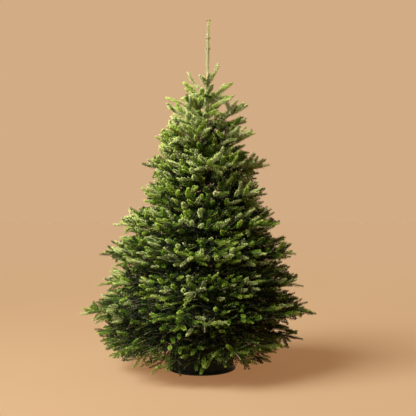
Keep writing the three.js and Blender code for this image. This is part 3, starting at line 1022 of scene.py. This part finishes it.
class FirStageSettings(bpy.types.PropertyGroup):
    floor: colour_setting("Floor", "The plain studio floor", (0.150, 0.112, 0.0665))
    far_floor: colour_setting("Far floor", "The floor far from the tree", (0.153, 0.120, 0.079))
    glow: colour_setting("Glow", "The light that the floor's shadows keep", (1.0, 0.47, 0.19))
    glow_strength: FloatProperty(
        name="Glow strength", description="How bright the floor's shadows stay", default=0.30, min=0, max=1)
    air: colour_setting("Backdrop", "The plain light behind", (0.645, 0.413, 0.235))
    ceiling: colour_setting("Ceiling", "The plain light from above", (0.22, 0.235, 0.21))
    key_power: FloatProperty(
        name="Key light", description="Strength of the broad light from above the left shoulder",
        default=8.6, min=0, max=20)
    key_spread: FloatProperty(
        name="Key spread", description="How broad the main light is, which softens its shadows",
        default=radians(38), min=0, max=radians(90), subtype="ANGLE", unit="ROTATION")
    fill_power: FloatProperty(
        name="Fill light", description="Power of the light that fills the shade", default=140,
        min=0, max=2000, subtype="POWER", unit="POWER")


# Operators


class FIR_OT_trunk(bpy.types.Operator):
    """Trunk and leader with bark relief"""

    bl_idname = "fir.trunk"
    bl_label = "Trunk"

    turns = 36
    rise = 0.010
    # The top bud: radius, and how far below the tip
    bud = [(0.0048, 0.010), (0.0042, 0.005), (0, 0)]
    # Corners nearer the middle line, or nearer the cut foot, have no relief
    middle = 0.002
    cut = 0.001
    relief = 0.0016
    # How closely the ridges stand, their dimension, lacunarity, octaves, offset and gain, and their mean
    ridges_across = 42
    ridges_along = 16
    ridge_shape = (1.0, 2.1, 3, 0.9, 2.0)
    ridge_middle = 1.1
    # Slower swellings under the ridges
    swell = 0.0012
    swells = 9

    def execute(self, context):
        heights = np.arange(SOCKET_FLOOR, TREE_HEIGHT - BUD_LENGTH, self.rise)
        profile = [(0, SOCKET_FLOOR), *[(trunk_radius(height), height) for height in heights]]
        profile += [(radius, TREE_HEIGHT - below) for radius, below in self.bud]
        shape = spun(profile, self.turns)
        for corner in shape.verts:
            radius = hypot(corner.co.x, corner.co.y)
            if radius >= self.middle and corner.co.z >= SOCKET_FLOOR + self.cut:
                grown = self.barked(corner.co, radius)
                corner.co.x *= grown / radius
                corner.co.y *= grown / radius
        lean_shape(shape)
        piece = mesh_from_bmesh("trunk_with_bark", shape, trunk_finish(context.scene.fir_colours.bark))
        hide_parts("trunk")
        return {"FINISHED"}

    def barked(self, spot, radius):
        """The trunk's radius at a spot, with its ridges and swellings."""
        across, along = self.ridges_across, self.ridges_along
        scaled = Vector((spot.x * across, spot.y * across, spot.z * along))
        ridges = noise.ridged_multi_fractal(scaled, *self.ridge_shape) - self.ridge_middle
        swell = noise.noise(spot * self.swells) * self.swell
        return radius + min(1, radius / TRUNK_RADIUS) * (self.relief * ridges + swell)


class FIR_OT_boughs(bpy.types.Operator):
    """Boughs from the trunk out to their last shoots"""

    bl_idname = "fir.boughs"
    bl_label = "Boughs"

    step = 0.012
    fewest_steps = 4
    # A bough starts inside the trunk, this share of the way out to its bark, and swells there by its collar
    root_share = 0.6
    collar = 0.45
    collar_length = 0.014
    relief = 0.16
    bumps = 70

    def execute(self, context):
        crown = crown_of(context)
        shape = tubes_on_curves("boughs_with_bark", [self.limb(bough) for bough in crown])
        shape.normal_update()
        for corner in shape.verts:
            corner.co += corner.normal * LIMB_RADIUS * self.relief * noise.noise(corner.co * self.bumps)
        lean_shape(shape)
        piece = mesh_from_bmesh("boughs_with_bark", shape, bough_finish(context.scene.fir_colours.bark))
        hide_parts(*[f"bough_{bough.name}" for bough in crown if bough.ring < RINGS_WITH_LIMBS])
        return {"FINISHED"}

    def limb(self, bough):
        """Points and radii along a bough, swollen where it leaves the trunk."""
        surface = trunk_radius(foot_height(bough.ring))
        start = surface * self.root_share
        count = max(self.fewest_steps, round((bough.reach - start) / self.step))
        points, radii = [], []
        for index in range(count + 1):
            radius = mix(start, bough.reach, index / count)
            swell = 1 + self.collar * exp(-max(0, radius - surface) / self.collar_length)
            points.append(bough.point(radius))
            radii.append(bough.radius_at(radius / bough.reach) * swell)
        return points, radii


class FIR_OT_twigs(bpy.types.Operator):
    """Side twigs, a tapering length for each year, darker where they are old or bare: partly old bark,
    partly painted shade inside the crown
    """

    bl_idname = "fir.twigs"
    bl_label = "Twigs"

    sides = 3
    # How thick a twig's tip is, what each year adds, and how long its bark stays young
    tip_radius = 0.0012
    year_radius = 0.0004
    young_years = 3

    def execute(self, context):
        shoots = [shoot for bough in crown_of(context) for shoot in bough.shoots
                  if shoot.carries and shoot.order > 0]
        feet = leaned([shoot.foot for shoot in shoots])
        tips = leaned([shoot.tip for shoot in shoots])
        ages = np.array([shoot.age for shoot in shoots], float)
        foot_radii = self.tip_radius + self.year_radius * (ages + 1)
        tip_radii = self.tip_radius + self.year_radius * ages
        points, triangles, per_twig = tube_arrays(feet, tips, foot_radii, tip_radii, self.sides)
        colours = context.scene.fir_colours
        materials = [finish("young_twig", colours.young_twig, roughness=0.6),
                     finish("old_twig_and_painted_shade", colours.old_twig_and_painted_shade, roughness=0.8)]
        # Old and bare twigs take the near-black colour: partly old bark, partly painted shade
        bare = np.array([not shoot.needled for shoot in shoots])
        kinds = np.repeat(bare | (ages >= self.young_years), per_twig)
        piece = mesh_from_arrays("twigs", points, triangles, kinds, materials)
        return {"FINISHED"}


class FIR_OT_needles(bpy.types.Operator):
    """Needles of the whole crown, in pieces, with their tints dealt out shoot by shoot"""

    bl_idname = "fir.needles"
    bl_label = "Needles"

    roughness = 0.42
    rough_beneath = 0.5
    # How glossy each tint is
    gloss = (0.06, 0.08, 0.14, 0.26, 0.30, 0.40)
    # From this share of the way out, a shoot's needles are a tint paler: partly young growth, partly
    # painted highlight on the lit tips
    pale_from = 0.88
    # How the tints go over from the lowest ring's to the highest's: below 1, faster low down. The lowest
    # rings' darker tints are partly older growth and partly painted shade from the boughs above, and the
    # highest rings' paler ones partly painted light.
    paling = 0.62
    # Needles are counted in steps of this many
    count_step = 6
    fewest_steps = 2
    # Needles in the highest ring, against the lowest
    top_length = 1.3
    top_spacing = 0.6
    # For each place: how deep it starts, its needles' spacing and breadth against those outside, and the
    # chances of its tints in the lowest ring and in the highest. The deep and shade tints that the deeper
    # places get are painted shade inside the crown.
    places = {
        "outside": (0.00, 1.0, 1.0,
                    (0.08, 0.50, 0.33, 0.08, 0.01, 0.00), (0.00, 0.00, 0.06, 0.36, 0.02, 0.56)),
        "between": (0.10, 2.9, 1.95,
                    (0.48, 0.44, 0.08, 0.00, 0.00, 0.00), (0.06, 0.34, 0.40, 0.12, 0.00, 0.08)),
        "inside": (0.20, 5.4, 3.4,
                   (0.90, 0.10, 0.00, 0.00, 0.00, 0.00), (0.70, 0.30, 0.00, 0.00, 0.00, 0.00)),
    }

    def execute(self, context):
        sizes, colours = context.scene.fir_crown, context.scene.fir_colours
        materials = [finish(f"{tint}_needles", getattr(colours, tint), self.roughness,
                            Specular_IOR_Level=gloss) for tint, gloss in zip(TINTS, self.gloss)]
        materials.append(finish("needles_beneath", colours.beneath, self.rough_beneath))
        group, total, number = [], 0, 1
        for bough in crown_of(context):
            needled = [shoot for shoot in bough.shoots if shoot.needled]
            cost = sum(len(BLADE_FACES) * self.count(shoot, sizes) for shoot in needled)
            if group and total + cost > MOST_TRIANGLES:
                self.make_piece(number, group, sizes, materials)
                group, total, number = [], 0, number + 1
            group.append((bough, needled))
            total += cost
        self.make_piece(number, group, sizes, materials)
        return {"FINISHED"}

    def place_of(self, shoot):
        """The deepest place that the shoot is in. One past the surface is outside."""
        depth = max(0, shoot.depth)
        return [place for place, (start, *_) in self.places.items() if depth >= start][-1]

    def count(self, shoot, sizes):
        """How many needles a shoot carries, in a few steps so that like shoots are made together."""
        _, apart, *_ = self.places[self.place_of(shoot)]
        spacing = sizes.needle_spacing * apart * mix(1, self.top_spacing, shoot.ring / LAST_RING)
        steps = round((shoot.tip - shoot.foot).length / spacing / self.count_step)
        return self.count_step * max(self.fewest_steps, steps)

    def make_piece(self, number, group, sizes, materials):
        """One joined piece: the needles of some boughs, with its own draws for their turns and tints."""
        draws = np.random.default_rng(number)
        alike = {}
        for shoot in [shoot for _, needled in group for shoot in needled]:
            alike.setdefault((self.place_of(shoot), self.count(shoot, sizes)), []).append(shoot)
        points, triangles, kinds, used = [], [], [], 0
        for (place, count), shoots in sorted(alike.items(), key=lambda item: item[0]):
            _, _, breadth, lowest, highest = self.places[place]
            feet, tips = leaned([s.foot for s in shoots]), leaned([s.tip for s in shoots])
            overs = sides_of(unit(tips - feet))[1]
            rings = np.array([[s.ring / LAST_RING] for s in shoots])
            lengths = sizes.needle_length * mix(1, self.top_length, rings)[..., None]
            more, faces, share = needle_arrays(feet, tips, overs, count, lengths,
                                               sizes.needle_width * breadth, draws)
            chances = np.cumsum(mix(np.array(lowest), np.array(highest), rings**self.paling), axis=1)
            tint = np.sum(draws.random((len(shoots), 1)) > chances, axis=1, keepdims=True)
            tint = np.minimum(tint, FROST)
            # Tips a tint paler: partly young growth, partly painted highlight
            young_and_painted_light_tips = (share > self.pale_from) & (tint >= GREEN) & (tint < LIME)
            tint = np.where(young_and_painted_light_tips, tint + 1, tint)
            # Frosted shoots' undersides take the frosted underside colour. The others' undersides take the
            # next darker tint, which is painted shade beneath the needles.
            beneath = np.where(tint == FROST, len(TINTS), np.maximum(tint - 1, 0))
            points.append(more)
            triangles.append(faces + used)
            kinds.append(np.stack([tint, tint, beneath, beneath], axis=-1).ravel())
            used += len(more)
        piece = mesh_from_arrays(f"needles_{number}", np.concatenate(points), np.concatenate(triangles),
                                 np.concatenate(kinds), materials)
        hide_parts(*[f"foliage_{bough.name}" for bough, _ in group])


class FIR_OT_buds(bpy.types.Operator):
    """Resting buds, three at the tip of each outer shoot and a few tufts of them on the leader"""

    bl_idname = "fir.buds"
    bl_label = "Buds"

    length = 0.0095
    radius = 0.0028
    # Where a bud is thickest, as a share of its length, and how far it is sunk in its shoot
    belly = 0.4
    sunk = 0.001
    roughness = 0.5
    side_turn = 42
    # The middle bud's size and the side ones', and how deep in the crown shoots still have them
    sizes = (1.0, 0.75, 0.75)
    deepest = 0.06
    # Tufts on the leader: where they are, how many buds each has, and how these stand
    leader_heights = (1.91, 1.975, 2.083)
    tuft = 5
    tuft_size = 1.6
    tuft_radius = 0.010
    tuft_rise = 1.3

    def execute(self, context):
        shoots = [shoot for bough in crown_of(context) for shoot in bough.shoots
                  if shoot.needled and shoot.age == 0 and shoot.depth < self.deepest]
        feet, tips = leaned([s.foot for s in shoots]), leaned([s.tip for s in shoots])
        along = unit(tips - feet)
        across, over = sides_of(along)
        turn = radians(self.side_turn)
        ways = [along, along * cos(turn) + across * sin(turn), along * cos(turn) - across * sin(turn)]
        starts = [tips - way * self.sunk for way in ways]
        sizes = [np.full(len(shoots), size) for size in self.sizes]
        turns = radians(GOLDEN_ANGLE) * np.arange(self.tuft)
        rises = np.full(self.tuft, self.tuft_rise)
        around = unit(np.stack([np.cos(turns), np.sin(turns), rises], axis=1))
        for height in self.leader_heights:
            starts.append(leaned([(0, 0, height)]) + around * self.tuft_radius)
            ways.append(around)
            sizes.append(np.full(self.tuft, self.tuft_size))
        ways = np.concatenate(ways)
        points, triangles = self.bud_arrays(np.concatenate(starts), ways, sides_of(ways)[1],
                                            np.concatenate(sizes)[:, None])
        bud = finish("bud_scales", context.scene.fir_colours.bud, self.roughness)
        piece = mesh_from_arrays("buds", points, triangles, np.zeros(len(triangles)), [bud])
        return {"FINISHED"}

    def bud_arrays(self, starts, ways, overs, sizes):
        """Eight-faced buds, thickest near the foot."""
        across = unit(np.cross(overs, ways))
        over = np.cross(ways, across)
        belly = starts + ways * self.length * sizes * self.belly
        wide = self.radius * sizes
        sides = [belly + across * wide, belly + over * wide, belly - across * wide, belly - over * wide]
        points = np.stack([starts, *sides, starts + ways * self.length * sizes], axis=1)
        faces, tip = [], len(sides) + 1
        for place in range(len(sides)):
            here, after = 1 + place, 1 + (place + 1) % len(sides)
            faces += [[0, after, here], [tip, here, after]]
        first = np.arange(len(starts))[:, None, None] * (tip + 1)
        return points.reshape(-1, 3), (first + np.array(faces)).reshape(-1, 3)


class FIR_OT_leader(bpy.types.Operator):
    """Short pale needles all round the leader, paler beneath"""

    bl_idname = "fir.leader"
    bl_label = "Leader needles"

    seed = 7
    count = 250
    opening = (40, 24)
    # As full to the sides as above and below
    fullness = (1, 1, 1)
    length = 0.018
    width = 0.0028
    # How far in from the leader's ends its needles start, and how far out from its middle
    ends = 0.012
    stalk = LEADER_RADIUS * 0.7

    def execute(self, context):
        low = (0, 0, TRUNK_TOP + self.ends)
        high = (0, 0, TREE_HEIGHT - BUD_LENGTH - self.ends)
        front = np.array([[0.0, 1.0, 0.0]])
        points, triangles, _ = needle_arrays(
            leaned([low]), leaned([high]), front, self.count, self.length, self.width,
            np.random.default_rng(self.seed), self.opening, self.fullness, self.stalk)
        colours = context.scene.fir_colours
        materials = [finish("leader_needle_tops", colours.leader, roughness=0.45),
                     finish("leader_needle_backs", colours.leader_beneath, roughness=0.5)]
        top, back = range(len(materials))
        kinds = np.tile([top, top, back, back], self.count)
        piece = mesh_from_arrays("leader_needles_fine", points, triangles, kinds, materials)
        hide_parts("leader_needles")
        return {"FINISHED"}


class FIR_OT_tank(bpy.types.Operator):
    """The stand's round tank, with panels between its ribs"""

    bl_idname = "fir.tank"
    bl_label = "Tank"

    turns = 120
    panels = 10
    # The wall's foot, the shoulder and the deck's edge, against the flange
    shares = (0.951, 0.888, 0.81)
    rounding = 0.002
    # Corners from the deck's groove in to the collar's foot, and of the socket's floor: radius and height
    deck_corners = [(0.128, 0.145), (0.126, 0.1435), (0.116, 0.1435), (0.114, 0.145), (0.084, 0.145),
                    (0.082, 0.147)]
    socket_corners = [(0.057, 0.014), (0, 0.014)]
    panel_foot = 0.02
    panel_top = 0.126
    panel_share = 0.42
    panel_edge = 0.004
    panel_depth = 0.004
    # How far inside the shoulder a face may be and still be the wall's
    slack = 0.002
    # Edges sharper than this many degrees are eased
    sharp = 35
    easing = 0.0009

    def execute(self, context):
        _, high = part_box("stand_tank")
        flange, height = high.x, high.z
        wall, shoulder, deck = [flange * share for share in self.shares]
        soft = self.rounding
        base = [(0, 0), (flange - soft, 0), (flange, 0.003), (flange, 0.009), (flange - soft, 0.012)]
        side = [(wall, 0.0125), (wall - 0.0005, 0.017), (shoulder, 0.127), (shoulder, 0.132),
                (shoulder - 0.004, 0.137), (deck, 0.145)]
        collar = [(0.082, height - soft), (0.080, height), (0.066, height), (0.064, height - soft)]
        shape = spun(base + side + self.deck_corners + collar + self.socket_corners, self.turns)
        self.sink_panels(shape, shoulder)
        ease_edges(shape, self.sharp, self.easing)
        piece = mesh_from_bmesh("tank_of_stand", shape, tank_finish(context.scene.fir_colours.tank))
        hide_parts("stand_tank")
        return {"FINISHED"}

    def sink_panels(self, shape, shoulder):
        """Panels sunk in the wall, with ribs left between them."""
        turn = 2 * pi / self.panels
        for panel in range(self.panels):
            middle = (panel + 0.5) * turn
            faces = []
            for face in shape.faces:
                spot = face.calc_center_median()
                off = atan2(spot.y, spot.x) - middle
                off = abs(atan2(sin(off), cos(off)))
                on_wall = hypot(spot.x, spot.y) > shoulder - self.slack
                if self.panel_foot < spot.z < self.panel_top and on_wall and off < turn * self.panel_share:
                    faces.append(face)
            bmesh.ops.inset_region(shape, faces=faces, thickness=self.panel_edge, depth=-self.panel_depth,
                                   use_boundary=True, use_even_offset=True)


class FIR_OT_clamp(bpy.types.Operator):
    """The clamp's ring and claws, with their edges eased"""

    bl_idname = "fir.clamp"
    bl_label = "Clamp"

    weld = 2e-5
    # Faces that meet flatter than this many degrees are joined, and longer edges sharper than that eased
    flat = 2
    sharp = 40
    easing = 0.0006
    shortest = 0.004

    def execute(self, context):
        shape = bmesh.new()
        shape.from_mesh(frame["nodes"]["stand_clamp"].data)
        bmesh.ops.remove_doubles(shape, verts=shape.verts, dist=self.weld)
        bmesh.ops.dissolve_limit(shape, angle_limit=radians(self.flat), verts=shape.verts,
                                 edges=shape.edges)
        ease_edges(shape, self.sharp, self.easing, self.shortest, clamped=True)
        piece = mesh_from_bmesh("clamp_of_stand", shape, clamp_finish(context.scene.fir_colours.clamp))
        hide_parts("stand_clamp")
        return {"FINISHED"}


class FIR_OT_stage(bpy.types.Operator):
    """Plain floor, soft light and the camera"""

    bl_idname = "fir.stage"
    bl_label = "Stage"

    floor_radius = 40
    floor_corners = 96
    # The floor is this far beneath the stand, so that the two don't share a plane.
    floor_drop = 0.0005
    key_place, key_target = (-3.0, -1.5, 4.3), (0, 0, 0.9)
    fill_place, fill_target = (-2.1, -1.7, 2.6), (0, 0, 1.5)
    fill_size = 2
    camera_place = (0.039, -4.1, 0.963)
    lens = 58.8
    sensor = 36
    # Between these heights in the sky, the backdrop's light goes over to the ceiling's
    ceiling = (0.30, 0.45)

    def execute(self, context):
        scene, settings = context.scene, context.scene.fir_stage
        shape = bmesh.new()
        bmesh.ops.create_circle(shape, cap_ends=True, radius=self.floor_radius, segments=self.floor_corners)
        mesh = bpy.data.meshes.new("studio_floor")
        shape.to_mesh(mesh)
        shape.free()
        mesh.transform(Matrix.Translation((0, 0, -self.floor_drop)))
        mesh.materials.append(floor_finish(settings))
        floor = bpy.data.objects.new("studio_floor", mesh)
        scene.collection.objects.link(floor)

        key = bpy.data.lights.new("key_light", "SUN")
        key.energy = settings.key_power
        key.angle = settings.key_spread
        self.add_light(scene, key, self.key_place, self.key_target)
        fill = bpy.data.lights.new("fill_light", "AREA")
        fill.energy = settings.fill_power
        fill.size = self.fill_size
        self.add_light(scene, fill, self.fill_place, self.fill_target)
        scene.world = self.air(settings)
        scene.view_settings.view_transform = "Standard"

        camera = bpy.data.objects.new("studio_camera", bpy.data.cameras.new("studio_camera"))
        camera.data.lens = self.lens
        camera.data.sensor_width = self.sensor
        camera.location = self.camera_place
        camera.rotation_euler = (pi / 2, 0, 0)
        scene.collection.objects.link(camera)
        scene.camera = camera
        return {"FINISHED"}

    def air(self, settings):
        """Plain light all round: the backdrop's colour low down, and the ceiling's above."""
        world = bpy.data.worlds.new("studio_air")
        world.use_nodes = True
        tree = world.node_tree
        split = tree.nodes.new("ShaderNodeSeparateXYZ")
        ramp = tree.nodes.new("ShaderNodeValToRGB")
        colours = (settings.air, settings.ceiling)
        for element, place, colour in zip(ramp.color_ramp.elements, self.ceiling, colours):
            element.position = place
            element.color = (*colour, 1)
        tree.links.new(tree.nodes.new("ShaderNodeTexCoord").outputs["Generated"], split.inputs["Vector"])
        tree.links.new(split.outputs["Z"], ramp.inputs["Fac"])
        tree.links.new(ramp.outputs["Color"], tree.nodes["Background"].inputs["Color"])
        return world

    def add_light(self, scene, lamp, place, target):
        """A lamp at its place, turned to its target."""
        light = bpy.data.objects.new(lamp.name, lamp)
        light.location = place
        light.rotation_euler = (Vector(target) - Vector(place)).to_track_quat("-Z", "Y").to_euler()
        scene.collection.objects.link(light)


class FIR_PT_sidebar(bpy.types.Panel):
    """Lists the pieces of the tree, with their settings"""

    bl_idname = "FIR_PT_sidebar"
    bl_label = "Cut fir"
    bl_space_type = "VIEW_3D"
    bl_region_type = "UI"
    bl_category = "Fir"

    def draw(self, context):
        for operator in PIECES:
            self.layout.operator(operator.bl_idname)
        for title, settings in (("Crown", context.scene.fir_crown), ("Colours", context.scene.fir_colours),
                                ("Stage", context.scene.fir_stage)):
            box = self.layout.box()
            box.label(text=title)
            for name in settings.__annotations__:
                box.prop(settings, name)


SETTINGS = {"fir_crown": FirCrownSettings, "fir_colours": FirColourSettings, "fir_stage": FirStageSettings}
PIECES = [FIR_OT_trunk, FIR_OT_boughs, FIR_OT_twigs, FIR_OT_needles, FIR_OT_buds, FIR_OT_leader,
          FIR_OT_tank, FIR_OT_clamp, FIR_OT_stage]


def register():
    for kind in [*SETTINGS.values(), *PIECES, FIR_PT_sidebar]:
        bpy.utils.register_class(kind)
    for name, kind in SETTINGS.items():
        setattr(bpy.types.Scene, name, PointerProperty(type=kind))


def unregister():
    for name in SETTINGS:
        delattr(bpy.types.Scene, name)
    for kind in [FIR_PT_sidebar, *PIECES, *SETTINGS.values()]:
        bpy.utils.unregister_class(kind)


def main():
    register()
    bpy.ops.fir.trunk()
    bpy.ops.fir.boughs()
    bpy.ops.fir.twigs()
    bpy.ops.fir.needles()
    bpy.ops.fir.buds()
    bpy.ops.fir.leader()
    bpy.ops.fir.tank()
    bpy.ops.fir.clamp()
    bpy.ops.fir.stage()


if __name__ == "__main__":
    main()
